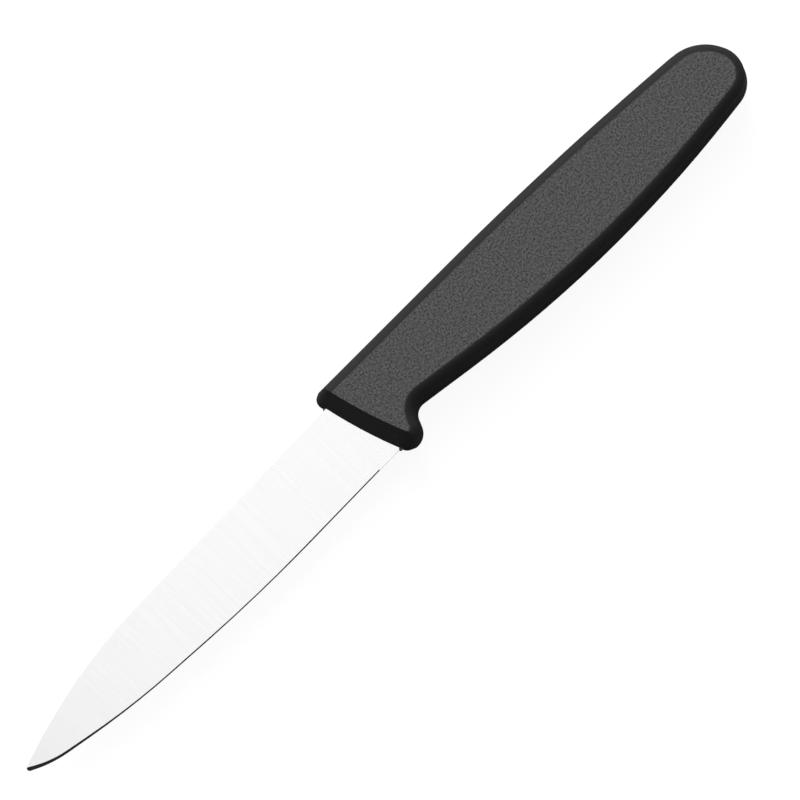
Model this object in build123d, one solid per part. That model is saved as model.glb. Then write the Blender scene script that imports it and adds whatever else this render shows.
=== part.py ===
from build123d import *
from math import cos, radians, sin, tan
import os

# A paring knife lying on its side: one stamped and ground blade with a hidden tang, and one
# moulded plastic handle round the tang. Millimetres. X runs from the tip to the butt, Y from the
# edge to the spine, and Z is square to the blade's flat.
# The drawing below has its zero on the blade's middle plane, where the knife's centre line meets
# the handle's front. The last lines set the finished knife down on the handle's flat side.

# Blade
blade_length = 89.5  # handle front to tip, on the centre line
blade_thickness = 1.4  # stock, at the spine by the handle and all along the tang
edge_thickness = 0.34  # behind the sharpened bevel, at the heel
tip_thickness = 0.4  # behind the sharpened bevel, at the tip
spine_height = 7.85  # centre line to spine at the handle
heel_depth = 7.66  # centre line to edge at the handle
bevel_angle = 15.0  # sharpened bevel, each side
plain_heel = 5.7  # stretch of edge next to the handle that is left unsharpened
bevel_rise = 0.43  # how far outside the edge line the sharpening starts, so that the bevel narrows there
tip_radius = 0.56

# Outline corners from the handle to the tip: shares of blade_length and of spine_height or
# heel_depth, and the share of the shorter run beside the corner that its round takes up.
spine_corner_shares = [(0.786, 0.809, 0.83)]
edge_corner_shares = [(0.399, 1.071, 0.46), (0.755, 0.799, 0.53), (0.953, 0.384, 0.60)]
tip_corner_share = -0.046  # height of the spine and edge lines' crossing, of spine_height
tip_overhang_share = 1.6  # that crossing's distance past the tip, of tip_radius

# Tang
seat_depth = 2.5  # how far the blade's full height reaches into the handle
tang_length = 58.0  # handle front to the tang's end
tang_root_height = 9.0
tang_end_height = 6.5
tang_corner = 2.0
anchor_hole = 4.0
anchor_place_shares = [0.38, 0.74]  # of tang_length

# Handle
handle_length = 102.75
handle_thickness = 12.5
spine_wall = 3.22  # plastic above the blade's spine
guard_wall = 1.89  # plastic below the blade's heel
guard_radius = 3.46
guard_back = 9.98  # front on the centre line to the corner behind the guard
guard_lean = 4.01  # how far that line leans forward on its way down
guard_drop = 9.25  # the same line's height, down to where the guard's sides would cross
recess_depth = 4.42  # centre line to the bottom line behind the guard
recess_radius = 2.7
belly_depth = 11.5  # corner of the belly, below the centre line
belly_place_share = 0.564  # of handle_length
back_bend_share = 0.606  # where the top line begins to fall, of handle_length
belly_round_share = 0.727
back_round_share = 0.756

# The butt's corners: shares of the handle's depth, back from the butt's end and from the centre line
butt_top_share = (0.165, 0.403)
butt_bottom_share = (-0.159, -0.290)
butt_round_shares = (0.383, 0.587)  # of the shorter run beside each

# Mould
draft_angle = 10.0
rim_radius = 2.0
front_slant = 16.6  # the front's lean from square to the centre line
front_draft = 22.3
front_bow = 0.65  # how far the front's middle stands proud of a straight line, over its whole height
front_top_radius = 1.8  # the front's corners in side view
front_bottom_radius = 2.0
front_crease = 25.0  # angle at which these corners meet the handle's sides
flash_radius = 0.33  # beads that the mould leaves where the spine and the edge go in
flash_width = 1.0
overrun = 6.0  # how far stock and cutting shapes reach past the finished part

half_handle = handle_thickness / 2
half_blade = blade_thickness / 2
handle_top = spine_height + spine_wall
guard_depth = heel_depth + guard_wall
handle_depth = handle_top + guard_depth
front_middle = (handle_top - guard_depth) / 2


def bend_radius(before, corner, after, share):
    """Radius of the round that takes up a share of the shorter run beside a corner."""
    run_in = Vector(*corner) - Vector(*before)
    run_out = Vector(*after) - Vector(*corner)
    turn = radians(run_in.get_angle(run_out))
    return share * min(run_in.length, run_out.length) / tan(turn / 2)


def front_at(height):
    """X of the handle's front on the parting plane, at a height above the centre line."""
    rise = (height - front_middle) / (handle_depth / 2)
    return front_bow * rise**2 - height * tan(radians(front_slant))


def corners_of(shares, height):
    """Blade outline corners from their shares, from the handle towards the tip."""
    return [(-along * blade_length, up * height) for along, up, _ in shares]


stock_end = front_at(handle_top) - front_bow - overrun
tip_corner = (-blade_length - tip_overhang_share * tip_radius, tip_corner_share * spine_height)
spine_corners = corners_of(spine_corner_shares, spine_height)
edge_corners = corners_of(edge_corner_shares, -heel_depth)


def on_heel_line(x):
    """The point of the straight edge at the heel, or of its line on into the handle."""
    far_x, far_y = edge_corners[0]
    return (x, -heel_depth + (far_y + heel_depth) * x / far_x)


def on_spine_line(x):
    """The point of the straight spine, or of its line on into the handle."""
    far_x, far_y = spine_corners[0]
    return (x, spine_height + (far_y - spine_height) * x / far_x)


def edge_radii(points):
    """Radii of the edge's bends, for its points from the heel to the tip."""
    return [
        bend_radius(points[i], points[i + 1], points[i + 2], edge_corner_shares[i][2])
        for i in range(len(edge_corner_shares))
    ]


def blade_outline():
    """The blade's side view from the tip to the shoulders, which stand inside the handle."""
    heel = on_heel_line(front_at(-heel_depth) + seat_depth)
    shoulder = on_spine_line(front_at(spine_height) + seat_depth)
    edge_points = [on_heel_line(0), *edge_corners, tip_corner]
    spine_points = [tip_corner, *spine_corners, on_spine_line(0)]
    spine_radius = bend_radius(*spine_points, spine_corner_shares[0][2])
    outline = FilletPolyline(
        shoulder,
        heel,
        *edge_corners,
        tip_corner,
        *spine_corners,
        close=True,
        radius=[0, 0, *edge_radii(edge_points), tip_radius, spine_radius],
    )
    return make_face(outline)


def grind_plane():
    """The flat grind of the upper side: thick at the spine, thin at the edge, thinner to the tip."""
    shoulder_x, shoulder_y = on_spine_line(front_at(spine_height) + seat_depth)
    spine_point = Vector(shoulder_x, shoulder_y, half_blade)
    heel_point = Vector(0, -heel_depth, edge_thickness / 2)
    tip_point = Vector(*tip_corner, tip_thickness / 2)
    normal = (heel_point - spine_point).cross(tip_point - spine_point)
    if normal.Z < 0:
        normal = -normal
    return Plane(origin=spine_point, z_dir=normal)


def bevel_cutter():
    """What the sharpening takes off the upper side, all along the edge and past the tip."""
    start_x, start_y = on_heel_line(front_at(-heel_depth) - plain_heel)
    start = (start_x, start_y - bevel_rise)
    last = Vector(*edge_corners[-1])
    past_tip = Vector(*tip_corner) + (Vector(*tip_corner) - last).normalized() * overrun
    points = [start, *edge_corners, (past_tip.X, past_tip.Y)]
    radii = edge_radii([on_heel_line(0), *edge_corners, tip_corner])
    path = FilletPolyline(*points, radius=radii)
    reach = blade_thickness / tan(radians(bevel_angle)) / 2
    tangent = path % 0
    section_plane = Plane(origin=path @ 0, x_dir=(-tangent.Y, tangent.X, 0), z_dir=tangent)
    inward = 1 if section_plane.x_dir.Y > 0 else -1
    section = section_plane * make_face(
        Polyline(
            (0, 0),
            (inward * reach, half_blade),
            (inward * reach, blade_thickness),
            (-inward * reach, blade_thickness),
            (-inward * reach, 0),
            close=True,
        )
    )
    return sweep(section, path=path)


def tang():
    """The stick tang: it narrows to its end and has two holes that the plastic flows through."""
    middle = (handle_top - recess_depth) / 2
    start = seat_depth / 2
    stick = make_face(
        FilletPolyline(
            (start, middle - tang_root_height / 2),
            (tang_length, middle - tang_end_height / 2),
            (tang_length, middle + tang_end_height / 2),
            (start, middle + tang_root_height / 2),
            close=True,
            radius=[0, tang_corner, tang_corner, 0],
        )
    )
    for share in anchor_place_shares:
        stick -= Pos(share * tang_length, middle) * Circle(anchor_hole / 2)
    return extrude(stick, amount=half_blade, both=True)


def make_blade():
    """The ground and sharpened blade with its tang."""
    body = extrude(blade_outline(), amount=half_blade, both=True)
    upper = grind_plane()
    body = split(body, bisect_by=upper, keep=Keep.BOTTOM)
    cutter = bevel_cutter()
    body -= cutter
    body = mirror(body, about=Plane.XY)
    body = split(body, bisect_by=upper, keep=Keep.BOTTOM)
    body -= cutter
    return body + tang()


def handle_outline():
    """The handle's side view on its parting plane, with spare stock ahead of the front."""
    front_top = (stock_end, handle_top)
    back_bend = (back_bend_share * handle_length, handle_top)
    butt_top = (handle_length - butt_top_share[0] * handle_depth, butt_top_share[1] * handle_depth)
    butt_low = (handle_length - butt_bottom_share[0] * handle_depth, butt_bottom_share[1] * handle_depth)
    belly = (belly_place_share * handle_length, -belly_depth)
    recess = (guard_back, -recess_depth)
    guard = (guard_back - guard_lean, -recess_depth - guard_drop)
    points = [front_top, guard, recess, belly, butt_low, butt_top, back_bend]
    radii = [
        guard_radius,
        guard_radius,
        recess_radius,
        bend_radius(recess, belly, butt_low, belly_round_share),
        bend_radius(belly, butt_low, butt_top, butt_round_shares[1]),
        bend_radius(butt_low, butt_top, back_bend, butt_round_shares[0]),
        bend_radius(butt_top, back_bend, front_top, back_round_share),
    ]
    return make_face(FilletPolyline(*points, close=True, radius=radii))


def turned_back(start, direction, radius):
    """A corner round from the front's end towards the side, and a straight run on across the side."""
    turn = direction.get_angle(Vector(1, 0, 0)) - front_crease
    if direction.Y > 0:
        turn = -turn
    corner = JernArc(start, direction, radius, turn)
    return [corner, Line(corner @ 1, corner @ 1 + corner % 1 * overrun)]


def front_waste():
    """What stands ahead of the slanted, slightly bowed front, which leans back with height."""
    high = handle_top - front_top_radius * (1 + sin(radians(front_slant)))
    low = -guard_depth + front_bottom_radius * (1 - sin(radians(front_slant)))
    middle = (high + low) / 2
    front = ThreePointArc((front_at(low), low), (front_at(middle), middle), (front_at(high), high))
    top = turned_back(front @ 1, front % 1, front_top_radius)
    bottom = turned_back(front @ 0, -(front % 0), front_bottom_radius)
    top_end = top[-1] @ 1
    bottom_end = bottom[-1] @ 1
    far = stock_end - overrun
    ahead = Polyline(bottom_end, (far, bottom_end.Y), (far, top_end.Y), top_end)
    way = Vector(tan(radians(front_draft)) / cos(radians(front_slant)), 0, 1)
    return extrude(make_face(front + top + bottom + ahead), amount=way.length * handle_thickness, dir=way)


def handle_half():
    """One mould half: drafted sides with a rounded rim, cut off by the crisp front."""
    stock = extrude(handle_outline(), amount=half_handle)
    stock = draft(stock.faces().sort_by(Axis.Z)[1:-1], Plane.XY, draft_angle)
    return fillet(stock.faces().sort_by(Axis.Z)[-1].edges(), rim_radius) - front_waste()


def flash_bead(height):
    """The bead of plastic squeezed out of the mould where the blade's rim meets the front."""
    return Pos(front_at(height), height) * Cylinder(flash_radius, flash_width)


def make_handle(blade):
    """Both halves of the moulding in one, with the blade's seat left open."""
    half = handle_half()
    body = half + mirror(half, about=Plane.XY)
    body += [flash_bead(spine_height), flash_bead(-heel_depth)]
    return body - blade


def place(shape, box):
    """Sets a finished piece down, its origin under the middle of the whole knife."""
    centre = box.center()
    return Pos(-centre.X, -centre.Y, half_handle) * shape


def main():
    os.makedirs("parts", exist_ok=True)
    blade = make_blade()
    handle = make_handle(blade)
    box = blade.bounding_box().add(handle.bounding_box())
    for name, shape in (("blade", blade), ("handle", handle)):
        placed = place(shape, box)
        print(name, len(placed.solids()), "solids", round(placed.volume, 1), "mm3")
        export_step(placed, f"parts/{name}.step")
    print("box", box.min, box.max)


main()
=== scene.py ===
"""Looks for a paring knife: cross-ground steel blade and a black moulded handle, on a white floor."""

import math

import bpy
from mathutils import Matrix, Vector

MM = 0.001

# Camera: the photograph's view, square to a point of the blade's middle plane
VIEW_AZIMUTH = math.radians(-45.65)
VIEW_ELEVATION = math.radians(79.0)
VIEW_DISTANCE = 800 * MM
VIEW_TARGET = Vector((2.752, -1.658, 6.25)) * MM
PICTURE_SIDE = 800
PIXELS_PER_MM = 5.27
SENSOR_WIDTH = 36.0

# Lights: a wide soft box overhead, which the blade mirrors and which reaches far out on the
# spine's side, a smaller one low on that side, and a small one under the wide one
KEY_CENTRE = Vector((0.705, 1.4, 1.6))
KEY_SIZE = (1.81, 3.2)
KEY_RADIANCE = 0.95
SIDE_CENTRE = Vector((0.45, 1.5, 0.75))
SIDE_SIZE = (1.4, 1.4)
SIDE_RADIANCE = 5.0
TOP_CENTRE = Vector((0.45, 0.68, 1.27))
TOP_SIZE = (0.5, 0.5)
TOP_RADIANCE = 4.0

# Surround: pale towards +Y and to both sides, and elsewhere grey near the horizon and dark above it
HORIZON_STRENGTH = 0.2
UPPER_STRENGTH = 0.08
HORIZON_BAND = (0.3, 0.55)  # sines of the elevations between which it darkens
PALE_STRENGTH = 0.3
PALE_BAND = (0.0, 0.3)  # directions' Y between which it turns pale
PALE_SIDE_BAND = (0.35, 0.8)  # the same for how far they point to a side
BACKDROP_BAND = (0.22, 0.28)  # sines of the elevations up to which it is the floor's white

# Floor
FLOOR_SIZE = 6.0
FLOOR_COLOUR = (0.14, 0.14, 0.14, 1)
FLOOR_GLOW = 0.93
# Painted shade: in reflections the floor's glow is dimmed near the surface that mirrors it, fading out
# over this reach.
FLOOR_PAINTED_SHADE_REACH = 200 * MM  # nearer to a surface than this, the floor it mirrors lies in its shade

# Noise: how fast its finer parts fade, and its darkest and brightest usual levels
NOISE_ROUGHNESS = 0.6
NOISE_LEVELS = (0.35, 0.65)

# Blade
STEEL_COLOUR = 0.965
# The bevel's colour is far darker than the ground face's, though it is the same steel: painted shade for
# the dark that the bevel mirrors.
BEVEL_PAINTED_SHADE_COLOUR = 0.25
BLANKED_COLOUR = 0.25
STEEL_ROUGHNESS = 0.2
BEVEL_ROUGHNESS = 0.08
BLANKED_ROUGHNESS = 0.45
BLANKED_BAND = (0.5, 0.55)  # flatness at which the blanked edges end and the bevel begins
BEVEL_BAND = (0.972, 0.99)  # flatness at which the bevel ends and the ground face begins
GRIND_PITCH = 0.6 * MM
GRIND_LENGTH = 20 * MM
GRIND_DEPTH = 0.003 * MM
GRIND_CONTRAST = 0.025
GRIND_DETAIL = 4.0

# Handle
GRAIN_SIZE = 0.39 * MM
GRAIN_DEPTH = 0.02 * MM
GRAIN_CONTRAST = 0.55
GRAIN_DETAIL = 3.0
FACE_BAND = (0.99, 1.0)  # flatness at which the rim ends and the flat face begins
FACE_COLOUR = 0.09
# Partly the smooth rim's own blacker look and partly painted shade: the rim and front, which face away
# from the lamps, get a far darker colour than the flat faces.
RIM_COLOUR_WITH_PAINTED_SHADE = 0.027
FACE_ROUGHNESS = 0.62
RIM_ROUGHNESS = 0.45
PLASTIC_SHINE = 0.06


def shader(name):
    """A new node material with its Principled shader."""
    material = bpy.data.materials.new(name)
    material.use_nodes = True
    return material, material.node_tree.nodes["Principled BSDF"]


def add(tree, kind, **values):
    """A node with its settings and unlinked inputs filled in."""
    node = tree.nodes.new(kind)
    for key, value in values.items():
        if key in node.inputs:
            node.inputs[key].default_value = value
        else:
            setattr(node, key, value)
    return node


def ramp(tree, stops, source):
    """A colour ramp from (place, grey) stops."""
    node = tree.nodes.new("ShaderNodeValToRGB")
    elements = node.color_ramp.elements
    while len(elements) < len(stops):
        elements.new(0.5)
    for element, (place, grey) in zip(elements, stops):
        element.position = place
        element.color = (grey, grey, grey, 1)
    tree.links.new(source, node.inputs["Fac"])
    return node.outputs["Color"]


def band(tree, places, greys, source):
    """A colour ramp between two greys over a band of its source."""
    return ramp(tree, list(zip(places, greys)), source)


def calculate(tree, operation, first, second=None):
    """The result of a sum on one or two sockets or plain values."""
    node = add(tree, "ShaderNodeMath", operation=operation)
    for socket, value in zip(node.inputs, (first, second)):
        if isinstance(value, bpy.types.NodeSocket):
            tree.links.new(value, socket)
        elif value is not None:
            socket.default_value = value
    return node.outputs[0]


def flatness(tree):
    """How square to the knife's flat a surface faces, from 0 to 1."""
    place = add(tree, "ShaderNodeTexCoord")
    parts = add(tree, "ShaderNodeSeparateXYZ")
    tree.links.new(place.outputs["Normal"], parts.inputs["Vector"])
    return calculate(tree, "ABSOLUTE", parts.outputs["Z"])


def noise(tree, scale, detail):
    """Noise that is fixed to the object, stretched by a scale for each axis."""
    place = add(tree, "ShaderNodeTexCoord")
    stretch = add(tree, "ShaderNodeMapping", Scale=scale)
    tree.links.new(place.outputs["Object"], stretch.inputs["Vector"])
    texture = add(tree, "ShaderNodeTexNoise", Scale=1.0, Detail=detail, Roughness=NOISE_ROUGHNESS)
    tree.links.new(stretch.outputs["Vector"], texture.inputs["Vector"])
    return texture.outputs["Fac"]


def bump(tree, height, share, depth, surface):
    """Relief of a depth on the share of a surface that takes it."""
    node = add(tree, "ShaderNodeBump", Strength=1.0, Distance=depth)
    tree.links.new(calculate(tree, "MULTIPLY", height, share), node.inputs["Height"])
    tree.links.new(node.outputs["Normal"], surface.inputs["Normal"])


def by_part(tree, flat, blanked, bevel, face):
    """A grey for the blanked edges, another for the bevel and another for the ground face."""
    places = (*BLANKED_BAND, *BEVEL_BAND)
    return ramp(tree, list(zip(places, (blanked, bevel, bevel, face))), flat)


def steel():
    """Steel ground across the blade, with a smoother sharpened bevel and dull blanked edges."""
    material, surface = shader("ground_steel")
    tree = material.node_tree
    surface.inputs["Metallic"].default_value = 1.0
    flat = flatness(tree)
    lines = noise(tree, (1 / GRIND_PITCH, 1 / GRIND_LENGTH, 1 / GRIND_LENGTH), GRIND_DETAIL)
    streaks = band(tree, NOISE_LEVELS, (1 - GRIND_CONTRAST, 1.0), lines)
    # Painted shade on the bevel: a far darker colour than the ground face's, for the dark it mirrors.
    colour = by_part(tree, flat, BLANKED_COLOUR, BEVEL_PAINTED_SHADE_COLOUR, STEEL_COLOUR)
    tree.links.new(calculate(tree, "MULTIPLY", colour, streaks), surface.inputs["Base Color"])
    rough = by_part(tree, flat, BLANKED_ROUGHNESS, BEVEL_ROUGHNESS, STEEL_ROUGHNESS)
    tree.links.new(rough, surface.inputs["Roughness"])
    bump(tree, lines, band(tree, BEVEL_BAND, (0.0, 1.0), flat), GRIND_DEPTH, surface)
    return material


def plastic():
    """Black polypropylene: spark-eroded grain on the flat faces, smoother round the rim."""
    material, surface = shader("black_polypropylene")
    tree = material.node_tree
    surface.inputs["Specular IOR Level"].default_value = PLASTIC_SHINE
    face = band(tree, FACE_BAND, (0.0, 1.0), flatness(tree))
    grain = noise(tree, (1 / GRAIN_SIZE, 1 / GRAIN_SIZE, 1 / GRAIN_SIZE), GRAIN_DETAIL)
    bump(tree, grain, face, GRAIN_DEPTH, surface)
    contrast = GRAIN_CONTRAST * FACE_COLOUR
    speckle = band(tree, NOISE_LEVELS, (FACE_COLOUR - contrast, FACE_COLOUR + contrast), grain)
    # Darker rim: partly its own smoother plastic, partly painted shade chosen by which way the surface
    # faces.
    colour = add(tree, "ShaderNodeMix", data_type="RGBA")
    tree.links.new(face, colour.inputs["Factor"])
    colour.inputs[6].default_value = (RIM_COLOUR_WITH_PAINTED_SHADE, RIM_COLOUR_WITH_PAINTED_SHADE, RIM_COLOUR_WITH_PAINTED_SHADE, 1)
    tree.links.new(speckle, colour.inputs[7])
    tree.links.new(colour.outputs[2], surface.inputs["Base Color"])
    rough = band(tree, (0.0, 1.0), (RIM_ROUGHNESS, FACE_ROUGHNESS), face)
    tree.links.new(rough, surface.inputs["Roughness"])
    return material


def dress(node, material):
    """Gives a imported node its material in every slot."""
    slots = node.material_slots
    if not slots:
        node.data.materials.append(material)
    for slot in slots:
        slot.material = material


def seen_directly(tree):
    """1 for what the camera sees, also through a reflection or clear material, and otherwise 0."""
    path = add(tree, "ShaderNodeLightPath")
    seen = calculate(tree, "MAXIMUM", path.outputs["Is Camera Ray"], path.outputs["Is Glossy Ray"])
    return calculate(tree, "MAXIMUM", seen, path.outputs["Is Transmission Ray"])


def floor_material():
    """White to the eye and to reflections, with a painted shade near the knife in reflections, greyer as
    a source of bounced light, and it takes shadows.
    """
    material = bpy.data.materials.new("white_floor")
    material.use_nodes = True
    tree = material.node_tree
    link = tree.links.new
    tree.nodes.remove(tree.nodes["Principled BSDF"])
    path = add(tree, "ShaderNodeLightPath")
    # Painted shade: the glow that reflections see grows with the ray's length up to the reach.
    shade = calculate(tree, "DIVIDE", path.outputs["Ray Length"], FLOOR_PAINTED_SHADE_REACH)
    shade = calculate(tree, "MINIMUM", shade, 1.0)
    mirrored = calculate(tree, "MULTIPLY", path.outputs["Is Glossy Ray"], shade)
    seen = calculate(tree, "MAXIMUM", path.outputs["Is Camera Ray"], mirrored)
    seen = calculate(tree, "MAXIMUM", seen, path.outputs["Is Transmission Ray"])
    matte = add(tree, "ShaderNodeBsdfDiffuse", Color=FLOOR_COLOUR)
    glow = add(tree, "ShaderNodeEmission")
    link(calculate(tree, "MULTIPLY", seen, FLOOR_GLOW), glow.inputs["Strength"])
    total = add(tree, "ShaderNodeAddShader")
    link(matte.outputs[0], total.inputs[0])
    link(glow.outputs[0], total.inputs[1])
    link(total.outputs[0], tree.nodes["Material Output"].inputs["Surface"])
    return material


def make_floor():
    """The floor under the knife."""
    bpy.ops.mesh.primitive_plane_add(size=FLOOR_SIZE, location=(0, 0, 0))
    floor = bpy.context.object
    floor.name = "floor"
    floor.data.materials.append(floor_material())


def aim(thing, place, target):
    """Puts a lamp or the camera at a place, looking at a target with the world's up."""
    thing.location = place
    thing.rotation_euler = (target - place).to_track_quat("-Z", "Y").to_euler()


def soft_box(name, place, target, size, radiance, mirrored):
    """An even soft box, hidden from the camera and, unless it is mirrored, from reflections."""
    lamp = bpy.data.lights.new(name, "AREA")
    lamp.shape = "RECTANGLE"
    lamp.size, lamp.size_y = size
    lamp.energy = radiance * math.pi * size[0] * size[1]
    box = bpy.data.objects.new(name, lamp)
    bpy.context.scene.collection.objects.link(box)
    aim(box, place, target)
    box.visible_camera = False
    box.visible_glossy = mirrored


def surround():
    """Dim light from all round, and the floor's white carried on past its far side."""
    world = bpy.data.worlds.new("surround")
    world.use_nodes = True
    tree = world.node_tree
    place = add(tree, "ShaderNodeTexCoord")
    parts = add(tree, "ShaderNodeSeparateXYZ")
    tree.links.new(place.outputs["Generated"], parts.inputs["Vector"])
    sideways = calculate(tree, "ABSOLUTE", parts.outputs["X"])
    strength = band(tree, HORIZON_BAND, (HORIZON_STRENGTH, UPPER_STRENGTH), parts.outputs["Z"])
    backdrop = band(tree, BACKDROP_BAND, (FLOOR_GLOW, 0.0), parts.outputs["Z"])
    for brighter in (
        band(tree, PALE_BAND, (0.0, PALE_STRENGTH), parts.outputs["Y"]),
        band(tree, PALE_SIDE_BAND, (0.0, PALE_STRENGTH), sideways),
        calculate(tree, "MULTIPLY", backdrop, seen_directly(tree)),
    ):
        strength = calculate(tree, "MAXIMUM", strength, brighter)
    background = tree.nodes["Background"]
    background.inputs["Color"].default_value = (1, 1, 1, 1)
    tree.links.new(strength, background.inputs["Strength"])
    bpy.context.scene.world = world


def make_lights():
    """The three soft boxes and the surround."""
    below_key = Vector((KEY_CENTRE.x, KEY_CENTRE.y, 0))
    soft_box("key", KEY_CENTRE, below_key, KEY_SIZE, KEY_RADIANCE, True)
    soft_box("side", SIDE_CENTRE, VIEW_TARGET, SIDE_SIZE, SIDE_RADIANCE, False)
    soft_box("top", TOP_CENTRE, VIEW_TARGET, TOP_SIZE, TOP_RADIANCE, False)
    surround()


def make_camera():
    """The photograph's long lens, high over the tip's side of the knife."""
    data = bpy.data.cameras.new("camera")
    data.sensor_width = SENSOR_WIDTH
    data.lens = SENSOR_WIDTH * PIXELS_PER_MM * VIEW_DISTANCE / MM / PICTURE_SIDE
    camera = bpy.data.objects.new("camera", data)
    bpy.context.scene.collection.objects.link(camera)
    across = math.cos(VIEW_ELEVATION)
    back = Vector(
        (
            math.sin(VIEW_AZIMUTH) * across,
            -math.cos(VIEW_AZIMUTH) * across,
            math.sin(VIEW_ELEVATION),
        )
    )
    aim(camera, VIEW_TARGET + back * VIEW_DISTANCE, VIEW_TARGET)
    bpy.context.scene.camera = camera


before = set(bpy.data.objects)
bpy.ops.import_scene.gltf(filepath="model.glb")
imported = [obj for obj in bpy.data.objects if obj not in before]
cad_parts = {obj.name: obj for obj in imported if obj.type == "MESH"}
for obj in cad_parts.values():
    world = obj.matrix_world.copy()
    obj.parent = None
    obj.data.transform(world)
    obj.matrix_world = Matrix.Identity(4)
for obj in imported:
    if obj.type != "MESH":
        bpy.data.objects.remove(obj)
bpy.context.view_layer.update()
dress(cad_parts["blade"], steel())
dress(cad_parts["handle"], plastic())
make_floor()
make_lights()
make_camera()
bpy.context.scene.view_settings.view_transform = "Standard"
